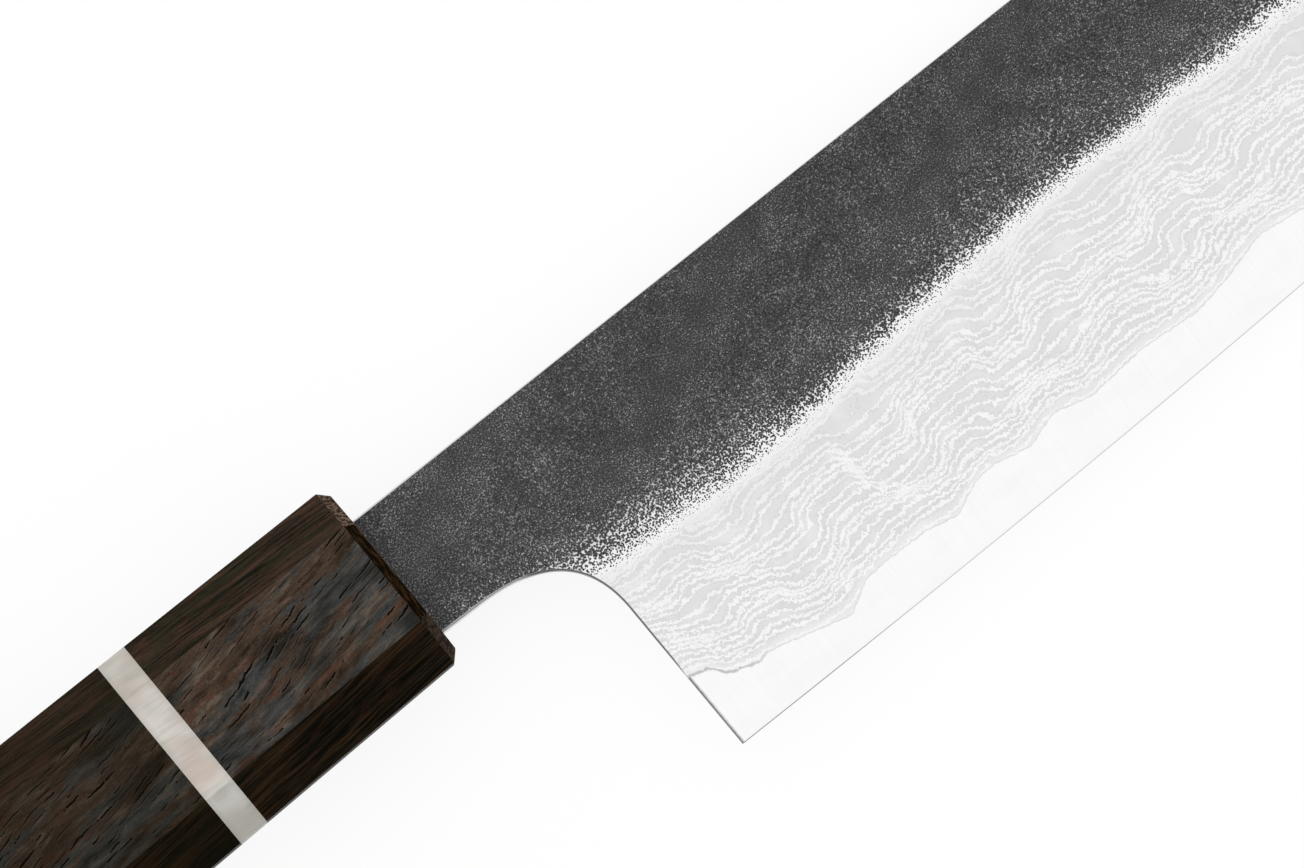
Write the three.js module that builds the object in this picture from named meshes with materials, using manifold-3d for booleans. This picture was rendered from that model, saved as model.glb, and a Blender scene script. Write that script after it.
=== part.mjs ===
// Nakiri knife: a laminated blade whose tang is bedded in an eight-sided wooden handle.
// Millimetres. The knife lies on its left side: +X runs from the butt to the tip, +Y towards the
// spine and +Z out of the right side of the blade. The origin is below the middle of the knife.
import * as THREE from 'three';
import { mergeVertices } from 'three/addons/utils/BufferGeometryUtils.js';
import Module from 'manifold-3d';

const wasm = await Module();
wasm.setup();

// Blade outline, measured along the spine from the handle axis at the front of the handle
const bladePitch = 0.9; // degrees that the blade dips from the handle axis towards its edge
const spineRise = 7.85; // spine above the handle axis
const neckHeight = 17.2; // spine to the underside of the neck, at the handle
const neckFlare = 0.1; // how much deeper the neck is where the choil starts
const bladeHeight = 49.6; // spine to edge, at the heel
const bladeLength = 165; // heel to tip
const heelReach = 19.9; // front of the handle to the heel
const heelLean = 0.45; // how far the heel line falls back above its foot
const choilWidth = 14.3; // choil curve, along the neck
const choilDrop = 11.9; // choil curve, down the heel
const choilNeckPull = 8.5; // how long the curve stays close to the neck
const choilHeelPull = 9.1; // how long the curve stays close to the heel
const bellyRise = 6.8; // how far the edge has risen at the tip
const bellyPower = 2.5; // how late along the edge the rise comes
const tipSpineRadius = 14;
const tipEdgeRadius = 5;

// Blade thickness
const neckThickness = 3.6;
const tipThickness = 1.9;
const tangEndThickness = 2.4;
const crestDepth = 20.6; // spine to the crest where the ground bevel starts
const crestThinning = 0.2; // loss of each side from the spine to the crest
const bevelFullness = 0.25; // roundness of the ground bevel
const edgeBevelHeight = 0.5; // small bevel that makes the cutting edge
const edgeLand = 0.2; // thickness at the top of that small bevel

// Lamination line, where the cladding ends and the core shows: places along the edge from the heel,
// and the line's height above the edge there
const laminationLine = [
  [0, 10.2], [2.5, 9.2], [7, 6.6], [9.5, 6.7], [14.8, 5.2], [19.8, 3.8], [23.6, 6.1], [27, 6.3],
  [33, 6.1], [37, 5.1], [41, 6.9], [43.8, 7.2], [49, 6], [53.4, 7.4], [58.3, 6], [66.7, 6.5],
  [74.6, 5.6], [80, 6.4], [86, 7.8], [93, 6.6], [101, 6.9], [110, 5.7], [118, 6.6], [127, 7.3],
  [137, 5.8], [147, 6.5], [156, 5.4], [165, 6],
];
const weldGap = 0.02; // between the core and each cladding

// Tang
const shoulderDepth = 5; // how far the full neck goes into the handle
const tangLength = 85;
const tangHeight = 10.6; // at the shoulder
const tangEndHeight = 6.5;

// Handle: a rectangle with its corners cut at 45 degrees, growing towards the butt
const handleLength = 134;
const frontHeight = 25.8;
const buttHeight = 29.8;
const frontThickness = 20.5;
const buttThickness = 23.4;
const frontCornerCut = 5.7;
const buttCornerCut = 6.5;
const frontChamfer = 1.25;
const buttChamfer = 1.6;
const frontBlockLength = 30.3;
const ringWidth = 4;

// Dowel, resin bed and mouth of the handle
const frontWall = 6; // wood left in front of the dowel's bore
const dowelWall = 10; // wood left behind the dowel's slot
const beddingWall = 1.1; // room round the tang in the dowel and round the neck in the mouth
const fitGap = 0.2; // between pieces that fit into each other
const sealRecess = 0.4; // mouth seal behind the front of the handle
const sealDepth = 3;

// Fineness of the curves
const outlineSegments = 16;
const boreSegments = 32;
const bladeStations = 60;
const bevelRows = 4;
const coreRows = 2;
const cutMargin = 1; // how far cutting shapes run past what they cut

// Sizes that follow from those above
const pitch = THREE.MathUtils.degToRad(bladePitch);
const tipReach = heelReach + bladeLength;
const neckUnderside = spineRise - neckHeight;
const slotWidth = neckThickness + 2 * beddingWall;
const dowelRadius = Math.hypot(tangHeight / 2 + beddingWall, slotWidth / 2);
const boreRadius = dowelRadius + fitGap;
const dowelFront = -frontWall - fitGap;
const slotBack = -tangLength - beddingWall;
const dowelBack = slotBack - dowelWall;
const ringFront = -frontBlockLength;
const ringBack = ringFront - ringWidth;

const lerp = THREE.MathUtils.lerp;

// Closed mesh to solid and back
function solidOf(geometry) {
  const bare = geometry.clone();
  bare.deleteAttribute('normal');
  bare.deleteAttribute('uv');
  const merged = mergeVertices(bare);
  return new wasm.Manifold(new wasm.Mesh({
    numProp: 3,
    vertProperties: new Float32Array(merged.attributes.position.array),
    triVerts: new Uint32Array(merged.index.array),
  }));
}

function geometryOf(solid) {
  const mesh = solid.getMesh();
  const geometry = new THREE.BufferGeometry();
  geometry.setAttribute('position', new THREE.BufferAttribute(mesh.vertProperties, 3));
  geometry.setIndex(new THREE.BufferAttribute(mesh.triVerts, 1));
  geometry.computeVertexNormals();
  return geometry;
}

// Skin over cross-sections that follow each other along +X. Each one is { x, ring }, and a ring
// holds its points in Y and Z, counter-clockwise as seen from the +X end
function loft(sections) {
  const count = sections[0].ring.length;
  const points = sections.flatMap(({ x, ring }) => ring.map((p) => [x, p.x, p.y]));
  const faces = [];
  for (let i = 0; i + 1 < sections.length; i++) {
    for (let j = 0; j < count; j++) {
      const a = i * count + j;
      const b = i * count + ((j + 1) % count);
      faces.push([a, b, b + count], [a, b + count, a + count]);
    }
  }
  const last = (sections.length - 1) * count;
  for (const [a, b, c] of THREE.ShapeUtils.triangulateShape(sections[0].ring, [])) {
    faces.push([c, b, a]);
  }
  for (const [a, b, c] of THREE.ShapeUtils.triangulateShape(sections.at(-1).ring, [])) {
    faces.push([last + a, last + b, last + c]);
  }
  const geometry = new THREE.BufferGeometry();
  geometry.setAttribute('position', new THREE.Float32BufferAttribute(points.flat(), 3));
  geometry.setIndex(faces.flat());
  geometry.computeVertexNormals();
  return geometry;
}

function rectangleRing(height, thickness) {
  return [
    new THREE.Vector2(height / 2, thickness / 2),
    new THREE.Vector2(-height / 2, thickness / 2),
    new THREE.Vector2(-height / 2, -thickness / 2),
    new THREE.Vector2(height / 2, -thickness / 2),
  ];
}

function boxAlong(back, front, height, thickness, centreY = 0) {
  const box = new THREE.BoxGeometry(front - back, height, thickness);
  return box.translate((back + front) / 2, centreY, 0);
}

function rodAlong(back, front, radius) {
  const rod = new THREE.CylinderGeometry(radius, radius, front - back, boreSegments);
  return rod.rotateZ(-Math.PI / 2).translate((back + front) / 2, 0, 0);
}

// Blade surfaces, as functions of the place along the spine and the depth below it
function edgeDepth(x) {
  const along = Math.max(0, x - heelReach) / bladeLength;
  return bladeHeight - bellyRise * along ** bellyPower;
}

function halfThickness(x, depth) {
  const far = x < 0 ? -x / tangLength : x / tipReach;
  const spineHalf = lerp(neckThickness, x < 0 ? tangEndThickness : tipThickness, far) / 2;
  if (depth <= crestDepth) return spineHalf - (crestThinning * depth) / crestDepth;
  const crestHalf = spineHalf - crestThinning;
  const height = edgeDepth(x) - depth;
  if (height <= edgeBevelHeight) return (edgeLand / 2) * (height / edgeBevelHeight);
  const share = (height - edgeBevelHeight) / (edgeDepth(x) - edgeBevelHeight - crestDepth);
  return lerp(edgeLand / 2, crestHalf, share * (1 + bevelFullness * (1 - share)));
}

function laminationDepth(x) {
  const along = THREE.MathUtils.clamp(x - heelReach, 0, laminationLine.at(-1)[0]);
  const next = Math.max(1, laminationLine.findIndex(([place]) => place >= along));
  const [low, lowHeight] = laminationLine[next - 1];
  const [high, highHeight] = laminationLine[next];
  return edgeDepth(x) - THREE.MathUtils.mapLinear(along, low, high, lowHeight, highHeight);
}

function coreHalf(x) {
  return halfThickness(x, laminationDepth(x));
}

function atDepth(depth, z) {
  return new THREE.Vector2(spineRise - depth, z);
}

// Cross-section of the core: the cutting edge, both bevels and the flat middle layer
function coreRing(x) {
  const flat = coreHalf(x) - weldGap;
  const bevelTop = edgeDepth(x) - edgeBevelHeight;
  const side = [];
  for (let row = 0; row < coreRows; row++) {
    const depth = lerp(bevelTop, laminationDepth(x), row / coreRows);
    side.push(atDepth(depth, halfThickness(x, depth)));
  }
  side.push(atDepth(laminationDepth(x), flat), atDepth(-cutMargin, flat));
  const under = side.map((p) => new THREE.Vector2(p.x, -p.y));
  return [atDepth(edgeDepth(x), 0), ...under, ...side.reverse()];
}

// Cross-section of a cladding: a wedge that feathers out at the lamination line
function claddingRing(x, side) {
  const flat = coreHalf(x);
  const ring = [
    atDepth(laminationDepth(x), flat),
    atDepth(-cutMargin, flat),
    atDepth(-cutMargin, halfThickness(x, -cutMargin)),
  ];
  for (let row = 0; row < bevelRows; row++) {
    const depth = lerp(crestDepth, laminationDepth(x), row / bevelRows);
    ring.push(atDepth(depth, halfThickness(x, depth)));
  }
  if (side > 0) return ring;
  return ring.map((p) => new THREE.Vector2(p.x, -p.y)).reverse();
}

// Outline that all three layers are cut to. The edge itself comes from the core's cross-sections
function bladeOutline() {
  const choilTop = neckUnderside - neckFlare;
  const choilFoot = choilTop - choilDrop;
  const choilStart = heelReach - heelLean - choilWidth;
  const heelTop = heelReach - heelLean;
  const heelEdge = spineRise - bladeHeight;
  const below = heelEdge - cutMargin;
  const heelBelow = heelReach + (heelLean * cutMargin) / (choilFoot - heelEdge);
  const arcX = tipReach - tipSpineRadius;
  const cornerX = tipReach - tipEdgeRadius;
  const cornerY = spineRise - edgeDepth(cornerX);
  const tipEdge = spineRise - edgeDepth(tipReach);

  const outline = new THREE.Shape();
  outline.moveTo(-shoulderDepth, spineRise);
  outline.lineTo(arcX, spineRise);
  outline.absarc(arcX, spineRise - tipSpineRadius, tipSpineRadius, Math.PI / 2, 0, true);
  outline.lineTo(tipReach, tipEdge + tipEdgeRadius);
  outline.quadraticCurveTo(tipReach, tipEdge, cornerX, cornerY);
  outline.lineTo(cornerX, below);
  outline.lineTo(heelBelow, below);
  outline.lineTo(heelTop, choilFoot);
  outline.bezierCurveTo(
    heelTop, choilFoot + choilHeelPull,
    choilStart + choilNeckPull, choilTop,
    choilStart, choilTop,
  );
  outline.lineTo(0, neckUnderside);
  outline.lineTo(-shoulderDepth, neckUnderside);

  // The tang lies along the handle axis, so its corners are turned into the blade's direction
  const tangCorners = [
    [-shoulderDepth, -tangHeight / 2],
    [-tangLength, -tangEndHeight / 2],
    [-tangLength, tangEndHeight / 2],
    [-shoulderDepth, tangHeight / 2],
  ];
  for (const [x, y] of tangCorners) {
    const corner = new THREE.Vector2(x, y).rotateAround(new THREE.Vector2(), pitch);
    outline.lineTo(corner.x, corner.y);
  }
  return outline;
}

function bladeLayer(ringAt) {
  const stations = [-tangLength - cutMargin, 0];
  for (let i = 0; i <= bladeStations; i++) {
    stations.push(lerp(heelReach, tipReach + cutMargin, i / bladeStations));
  }
  const slab = loft(stations.map((x) => ({ x, ring: ringAt(x) })));
  const prism = new THREE.ExtrudeGeometry(bladeOutline(), {
    depth: 2 * neckThickness,
    bevelEnabled: false,
    curveSegments: outlineSegments,
  });
  prism.translate(0, 0, -neckThickness);
  return geometryOf(solidOf(slab).intersect(solidOf(prism))).rotateZ(-pitch);
}

// Handle: eight-sided cross-section at a place along the axis, drawn in by a chamfer
function octagonRing(x, inset = 0) {
  const far = -x / handleLength;
  const a = lerp(frontHeight, buttHeight, far) / 2 - inset;
  const b = lerp(frontThickness, buttThickness, far) / 2 - inset;
  const cut = lerp(frontCornerCut, buttCornerCut, far) - inset * (2 - Math.SQRT2);
  const corners = [
    [a, b - cut], [a - cut, b], [cut - a, b], [-a, b - cut],
    [-a, cut - b], [cut - a, -b], [a - cut, -b], [a, cut - b],
  ];
  return corners.map(([y, z]) => new THREE.Vector2(y, z));
}

function handleBlock(places) {
  return solidOf(loft(places.map(({ x, inset }) => ({ x, ring: octagonRing(x, inset) }))));
}

function dowelBore(back, front) {
  return solidOf(rodAlong(back, front, boreRadius));
}

function mouthBox(back, front, clearance) {
  const height = neckHeight + 2 * clearance;
  const thickness = neckThickness + 2 * clearance;
  return solidOf(boxAlong(back, front, height, thickness, spineRise - neckHeight / 2));
}

function frontBlock() {
  const block = handleBlock([{ x: ringFront }, { x: -frontChamfer }, { x: 0, inset: frontChamfer }]);
  const mouth = mouthBox(-frontWall - cutMargin, cutMargin, beddingWall);
  return geometryOf(block.subtract(mouth).subtract(dowelBore(ringFront - cutMargin, -frontWall)));
}

function spacerRing() {
  const ring = handleBlock([{ x: ringBack }, { x: ringFront }]);
  return geometryOf(ring.subtract(dowelBore(ringBack - cutMargin, ringFront + cutMargin)));
}

function rearBlock() {
  const block = handleBlock([
    { x: -handleLength, inset: buttChamfer },
    { x: buttChamfer - handleLength },
    { x: ringBack },
  ]);
  return geometryOf(block.subtract(dowelBore(dowelBack - fitGap, ringBack + cutMargin)));
}

function innerDowel() {
  const dowel = solidOf(rodAlong(dowelBack, dowelFront, dowelRadius));
  const slot = boxAlong(slotBack, 0, 4 * dowelRadius, slotWidth);
  return geometryOf(dowel.subtract(solidOf(slot)));
}

// Resin fills the dowel's slot and leaves a tapered pocket for the tang
function tangResin() {
  const barHeight = 4 * dowelRadius;
  const bar = solidOf(boxAlong(slotBack + fitGap, dowelFront, barHeight, slotWidth - 2 * fitGap));
  const round = solidOf(rodAlong(dowelBack, dowelFront + cutMargin, dowelRadius - fitGap));
  const pocketBack = -tangLength - fitGap;
  const pocket = loft([
    { x: pocketBack, ring: rectangleRing(tangEndHeight + 2 * fitGap, tangEndThickness + 2 * fitGap) },
    { x: 0, ring: rectangleRing(tangHeight + 2 * fitGap, neckThickness + 2 * fitGap) },
  ]);
  return geometryOf(bar.intersect(round).subtract(solidOf(pocket)));
}

function mouthSeal() {
  const back = -sealRecess - sealDepth;
  const bead = mouthBox(back, -sealRecess, beddingWall - fitGap);
  return geometryOf(bead.subtract(mouthBox(back - cutMargin, 0, fitGap)));
}

function piece(name, geometry, color, roughness, metalness) {
  const mesh = new THREE.Mesh(geometry, new THREE.MeshStandardMaterial({ color, roughness, metalness }));
  mesh.name = name;
  return mesh;
}

const knife = new THREE.Group();
knife.add(
  piece('core_steel', bladeLayer(coreRing), 0xf0f0f0, 0.3, 1),
  piece('right_cladding', bladeLayer((x) => claddingRing(x, 1)), 0x8c8c8d, 0.5, 0.8),
  piece('left_cladding', bladeLayer((x) => claddingRing(x, -1)), 0x8c8c8d, 0.5, 0.8),
  piece('front_block', frontBlock(), 0x3b332d, 0.45, 0),
  piece('spacer_ring', spacerRing(), 0xcfc7be, 0.4, 0),
  piece('rear_block', rearBlock(), 0x352e29, 0.45, 0),
  piece('inner_dowel', innerDowel(), 0xb48f62, 0.7, 0),
  piece('tang_resin', tangResin(), 0xcbb98a, 0.3, 0),
  piece('mouth_seal', mouthSeal(), 0x16130f, 0.5, 0),
);

// The origin goes below the middle of the whole knife
const box = new THREE.Box3().setFromObject(knife);
const middle = box.getCenter(new THREE.Vector3());
knife.position.set(-middle.x, -middle.y, -box.min.z);

export default knife;
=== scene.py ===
import math
from types import SimpleNamespace

import bpy
import numpy as np
from mathutils import Matrix, Vector
from mathutils.geometry import delaunay_2d_cdt
from mathutils.kdtree import KDTree


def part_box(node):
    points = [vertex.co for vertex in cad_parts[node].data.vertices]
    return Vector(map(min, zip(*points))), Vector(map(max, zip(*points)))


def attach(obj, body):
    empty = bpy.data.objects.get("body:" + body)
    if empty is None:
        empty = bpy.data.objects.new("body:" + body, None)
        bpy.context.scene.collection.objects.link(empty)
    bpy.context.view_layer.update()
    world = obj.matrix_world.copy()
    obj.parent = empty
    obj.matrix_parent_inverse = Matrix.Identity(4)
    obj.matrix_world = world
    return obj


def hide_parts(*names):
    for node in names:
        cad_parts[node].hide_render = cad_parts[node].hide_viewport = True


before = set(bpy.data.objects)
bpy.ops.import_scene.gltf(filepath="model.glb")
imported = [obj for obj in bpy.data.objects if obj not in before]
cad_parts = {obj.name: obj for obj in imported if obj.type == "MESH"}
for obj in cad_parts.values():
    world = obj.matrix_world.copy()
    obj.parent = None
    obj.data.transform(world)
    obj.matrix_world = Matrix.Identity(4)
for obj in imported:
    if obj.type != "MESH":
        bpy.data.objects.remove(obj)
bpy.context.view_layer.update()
scene = bpy.context.scene
scene.view_settings.view_transform = "Standard"

# All sizes below are in mm, from the centre of the handle's front face
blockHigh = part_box("front_block")[1]
rearLow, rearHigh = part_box("rear_block")
handleFront = Vector((blockHigh.x, (rearLow.y + rearHigh.y) / 2, (rearLow.z + rearHigh.z) / 2))
mm = 0.001
print("frame loaded, front of the handle at", [round(v, 6) for v in handleFront])


def named(values):  # a dictionary with its keys as names
    return SimpleNamespace(**values)


def srgb(colour):  # a grey, or red, green and blue, as picked on screen, 0 to 255
    shares = [v / 255 for v in (colour if isinstance(colour, tuple) else (colour,) * 3)]
    return [s / 12.92 if s < 0.04045 else ((s + 0.055) / 1.055) ** 2.4 for s in shares] + [1.0]


def mathOf(operation, turned=False):  # an operator of the class below, which adds one Math node
    return lambda wire, value: wire.math(operation, value, turned=turned)


class Wire:  # a socket in a node tree; sums on it add Math nodes
    def __init__(self, tree, socket=None):
        self.tree, self.socket = tree, socket

    def node(self, kind, sockets=None, out=0, **settings):
        made = self.tree.nodes.new(kind)
        for key, value in settings.items():
            setattr(made, key, value)
        for key, value in (sockets or {}).items():
            if isinstance(value, Wire):
                self.tree.links.new(value.socket, made.inputs[key])
            else:
                made.inputs[key].default_value = value
        return Wire(self.tree, made.outputs[out]) if made.outputs else None

    def math(self, operation, *others, turned=False):
        values = (*others, self) if turned else (self, *others)
        return self.node("ShaderNodeMath", dict(enumerate(values)), operation=operation)

    def other(self, out):
        return Wire(self.tree, self.socket.node.outputs[out])

    __add__ = __radd__ = mathOf("ADD")
    __mul__ = __rmul__ = mathOf("MULTIPLY")
    __sub__, __rsub__ = mathOf("SUBTRACT"), mathOf("SUBTRACT", True)
    __truediv__, __rtruediv__ = mathOf("DIVIDE"), mathOf("DIVIDE", True)
    __mod__, __gt__, __lt__ = mathOf("FLOORED_MODULO"), mathOf("GREATER_THAN"), mathOf("LESS_THAN")

    def __abs__(self):
        return self.math("ABSOLUTE")

    def ramp(self, low, high, start=0.0, end=1.0, shape="SMOOTHSTEP"):
        return self.node("ShaderNodeMapRange", {
            "Value": self, "From Min": low, "From Max": high, "To Min": start, "To Max": end,
        }, interpolation_type=shape)

    def vector(self, x, y, z):
        return self.node("ShaderNodeCombineXYZ", {0: x, 1: y, 2: z})

    def noise(self, place, detail=0.0, roughness=0.5, distortion=0.0):  # place: a wire, or x, y and z
        if isinstance(place, tuple):
            place = self.vector(*place)
        return self.node("ShaderNodeTexNoise", {
            "Vector": place, "Scale": 1.0, "Detail": detail, "Roughness": roughness, "Distortion": distortion})

    def cells(self, place):
        return self.node(
            "ShaderNodeTexVoronoi", {"Vector": place, "Scale": 1.0}, voronoi_dimensions="3D", feature="F1")

    def blend(self, share, first, second):  # colours, as wires or as picked on screen
        first, second = (c if isinstance(c, Wire) else srgb(c) for c in (first, second))
        return self.node("ShaderNodeMix", {0: share, 6: first, 7: second}, 2, data_type="RGBA")

    def paint(self, colour, *coats):  # each coat is a share and a colour
        for share, coat in coats:
            colour = self.blend(share, colour, coat)
        return colour

    def parts(self):
        split = self.node("ShaderNodeSeparateXYZ", {0: self})
        return split, split.other(1), split.other(2)


def newMaterial(name, **constants):
    made = bpy.data.materials.new(name)
    made.use_nodes = True
    shader = made.node_tree.nodes["Principled BSDF"]
    for key, value in constants.items():
        shader.inputs[key.replace("_", " ")].default_value = value
    return made, Wire(made.node_tree), shader


def feed(shader, **sockets):
    for key, value in sockets.items():
        shader.id_data.links.new(value.socket, shader.inputs[key.replace("_", " ")])


def placeInMm(start):  # object coordinates in mm from the handle's front
    coords = start.node("ShaderNodeTexCoord", out="Object")
    return start.node("ShaderNodeMapping", {
        "Vector": coords, "Location": handleFront, "Scale": (mm, mm, mm)}, vector_type="TEXTURE")


def addBump(start, height, strength, distance):
    return start.node("ShaderNodeBump", {"Height": height, "Strength": strength, "Distance": distance})


# Blade sizes, as the solids have them
bladeSizes = {
    "pitch": 0.9, "spineRise": 7.85, "neckHeight": 17.2, "neckFlare": 0.1,
    "height": 49.6, "length": 165.0, "heelReach": 19.9, "heelLean": 0.45,
    "choilWidth": 14.3, "choilDrop": 11.9, "choilNeckPull": 8.5, "choilHeelPull": 9.1,
    "bellyRise": 6.8, "bellyPower": 2.5, "tipSpineRadius": 14.0, "tipEdgeRadius": 5.0,
    "neckThickness": 3.6, "tipThickness": 1.9, "tangEndThickness": 2.4,
    "crestDepth": 20.6, "crestThinning": 0.2, "bevelFullness": 0.25,
    "edgeBevelHeight": 0.5, "edgeLand": 0.2, "weldGap": 0.02,
    "shoulderDepth": 5.0, "tangLength": 85.0, "tangHeight": 10.6, "tangEndHeight": 6.5,
    # place from the heel, height above the edge
    "laminationLine": [
        (0, 10.2), (1.6, 9.7), (3, 9.2), (3.5, 7.7), (5.6, 7.1), (7.5, 6.3), (9.3, 6.7), (14.8, 5.2),
        (19.8, 3.8), (23.6, 6.1), (27, 6.3), (33, 6.1), (37, 5.1), (41, 6.9), (43.8, 7.2), (49, 6),
        (53.4, 7.4), (58.3, 6), (66.7, 6.5), (74.6, 5.6), (80, 6.4), (86, 7.8), (93, 6.6), (101, 6.9),
        (110, 5.7), (118, 6.6), (127, 7.3), (137, 5.8), (147, 6.5), (156, 5.4), (165, 6)],
    "laminationSoftness": (0.4, 2.0, 7.0),  # of the line itself, of the layers near it and far from it
    # place from the handle's front, height where the forge scale ends
    "scaleLine": [
        (5, -13.5), (20, -15.0), (33, -15.7), (45, -16.2), (55, -15.0), (68, -14.0), (79, -13.0), (95, -12.5),
        (120, -12.9), (150, -13.2), (172, -13.0), (185, -12.4)],
    "scaleSoftness": 4.0,
    # widths of the eased and polished strips along the outline
    "spineEase": 0.33, "midSpineEase": 0.26, "farSpineEase": 0.17, "neckEase": 0.6, "heelEase": 0.3,
    "tangEase": 0.05,
    "meshStep": 0.9, "lineStep": 0.35, "wallStep": 0.7, "shoulderStep": 1.5, "tangStep": 2.5, "easeRows": 4,
    "easeDrop": 0.85, "mostDrop": 0.55, "easeFadeIn": 3.0, "easeFadeOut": 6.0, "edgeStep": 0.8,
    "coreCoarser": 1.25, "weldFade": 0.4, "leastHalf": 0.004, "sharpFrom": 32,
    "choilPoints": 60, "tipPoints": 32, "cornerPoints": 14, "spineEasePlaces": (0, 15, 40),
}
size = named(bladeSizes)
spine, heelReach = size.spineRise, size.heelReach
tipReach = heelReach + size.length
heelTop = heelReach - size.heelLean
heelEdge = spine - size.height
choilTop = spine - size.neckHeight - size.neckFlare
choilFoot = choilTop - size.choilDrop
choilStart = heelTop - size.choilWidth
pitch = math.radians(size.pitch)


def softLine(points, softness, step=0.1):  # a line through points, with its corners rounded
    places, heights = np.array(points, float).T
    x = np.arange(places[0] - 4 * softness, places[-1] + 4 * softness, step)
    reach = np.arange(-3 * softness, 3 * softness + step / 2, step)
    weight = np.exp(-0.5 * (reach / softness) ** 2)
    padded = np.pad(np.interp(x, places, heights), len(reach) // 2, mode="edge")
    return x, np.convolve(padded, weight / weight.sum(), mode="valid")[:len(x)]


laminationCurve, layerCurve, slowCurve = (
    softLine(size.laminationLine, softness) for softness in size.laminationSoftness)
scaleCurve = softLine(size.scaleLine, size.scaleSoftness)


def edgeDepth(x):
    along = np.maximum(0, x - heelReach) / size.length
    return size.height - size.bellyRise * along ** size.bellyPower


def laminationDepth(x):
    along = x - heelReach
    wiggle = 0.07 * np.sin(along * 2.9 + 1) * np.sin(along * 0.83) + 0.05 * np.sin(along * 6.1 + 2)
    height = np.interp(along, *laminationCurve) + wiggle * np.clip(along / 2, 0, 1)
    return edgeDepth(x) - height


def edgeAt(x):  # height of the cutting edge
    return spine - edgeDepth(x)


def lineAt(x):  # height of the lamination line
    return spine - laminationDepth(x)


def halfThickness(x, depth):
    far = np.where(x < 0, -x / size.tangLength, x / tipReach)
    end = np.where(x < 0, size.tangEndThickness, size.tipThickness)
    spineHalf = (size.neckThickness + (end - size.neckThickness) * far) / 2
    flat = spineHalf - size.crestThinning * depth / size.crestDepth
    height = edgeDepth(x) - depth
    land = size.edgeLand / 2
    bevelHeight = edgeDepth(x) - size.edgeBevelHeight - size.crestDepth
    share = (height - size.edgeBevelHeight) / bevelHeight
    full = share * (1 + size.bevelFullness * (1 - share))
    bevel = land + (spineHalf - size.crestThinning - land) * full
    edge = land * height / size.edgeBevelHeight
    below = np.where(height <= size.edgeBevelHeight, edge, bevel)
    return np.where(depth <= size.crestDepth, flat, below)


def coreHalf(x):
    return halfThickness(x, laminationDepth(x))


def steps(first, last, step):
    return np.linspace(first, last, max(2, int(abs(last - first) / step) + 2))


def pulledCurve(corners, count):  # points of a curve that its corners pull on
    t, last = np.linspace(0, 1, count)[:, None], len(corners) - 1
    return sum(math.comb(last, k) * (t ** k * (1 - t) ** (last - k)) * c for k, c in enumerate(np.array(corners)))


# Outline from the heel's foot up round the choil, along the neck, round the tang and along the spine
# to the tip, then down to the cutting edge. Rows of x, y and the width of the eased strip
def bladeOutline():
    rows = []

    def add(xs, ys, widths):
        rows.extend(np.stack(np.broadcast_arrays(xs, ys, widths), 1)[:-1].tolist())

    y = steps(heelEdge, choilFoot, size.wallStep)
    lift = (y - heelEdge) / (choilFoot - heelEdge)
    add(heelReach - size.heelLean * lift, y, size.heelEase)
    curve = pulledCurve([
        (heelTop, choilFoot), (heelTop, choilFoot + size.choilHeelPull),
        (choilStart + size.choilNeckPull, choilTop), (choilStart, choilTop)], size.choilPoints)
    add(*curve.T, size.heelEase + (size.neckEase - size.heelEase) * np.linspace(0, 1, size.choilPoints) ** 2)
    x = steps(choilStart, 0, size.meshStep)
    add(x, np.interp(x, [0, choilStart], [choilTop + size.neckFlare, choilTop]), size.neckEase)
    neckY = choilTop + size.neckFlare
    shoulder = steps(0, -size.shoulderDepth, size.shoulderStep)
    add(shoulder, neckY, np.linspace(size.neckEase, size.tangEase, len(shoulder)))
    turn = Matrix.Rotation(pitch, 2)
    tang = [turn @ Vector(p) for p in (
        (-size.shoulderDepth, -size.tangHeight / 2), (-size.tangLength, -size.tangEndHeight / 2),
        (-size.tangLength, size.tangEndHeight / 2), (-size.shoulderDepth, size.tangHeight / 2))]
    shoulders = [Vector((-size.shoulderDepth, neckY)), *tang, Vector((-size.shoulderDepth, spine))]
    for first, last in zip(shoulders, shoulders[1:]):
        count = len(steps(0, (last - first).length, size.tangStep))
        add(np.linspace(first.x, last.x, count), np.linspace(first.y, last.y, count), size.tangEase)
    add(shoulder[::-1], spine, np.linspace(size.tangEase, size.spineEase, len(shoulder)))
    x = steps(0, tipReach - size.tipSpineRadius, size.meshStep)
    add(x, spine, np.interp(x, size.spineEasePlaces, [size.spineEase, size.midSpineEase, size.farSpineEase]))
    angle = np.linspace(math.pi / 2, 0, size.tipPoints)
    radius = size.tipSpineRadius
    add(tipReach - radius + radius * np.cos(angle), spine - radius + radius * np.sin(angle),
        size.farSpineEase)
    tipEdge, lineEnd = edgeAt(tipReach), lineAt(tipReach)
    add(tipReach, steps(spine - radius, lineEnd, size.wallStep), size.farSpineEase)
    cornerTop = tipEdge + size.tipEdgeRadius
    add(tipReach, steps(lineEnd, cornerTop, 0.5), size.farSpineEase)
    cornerX = tipReach - size.tipEdgeRadius
    cornerY = edgeAt(cornerX)
    curve = pulledCurve([(tipReach, cornerTop), (tipReach, tipEdge), (cornerX, cornerY)], size.cornerPoints)
    add(*curve.T, size.farSpineEase)
    rows.append([cornerX, cornerY, 0])
    return np.array(rows)


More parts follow.
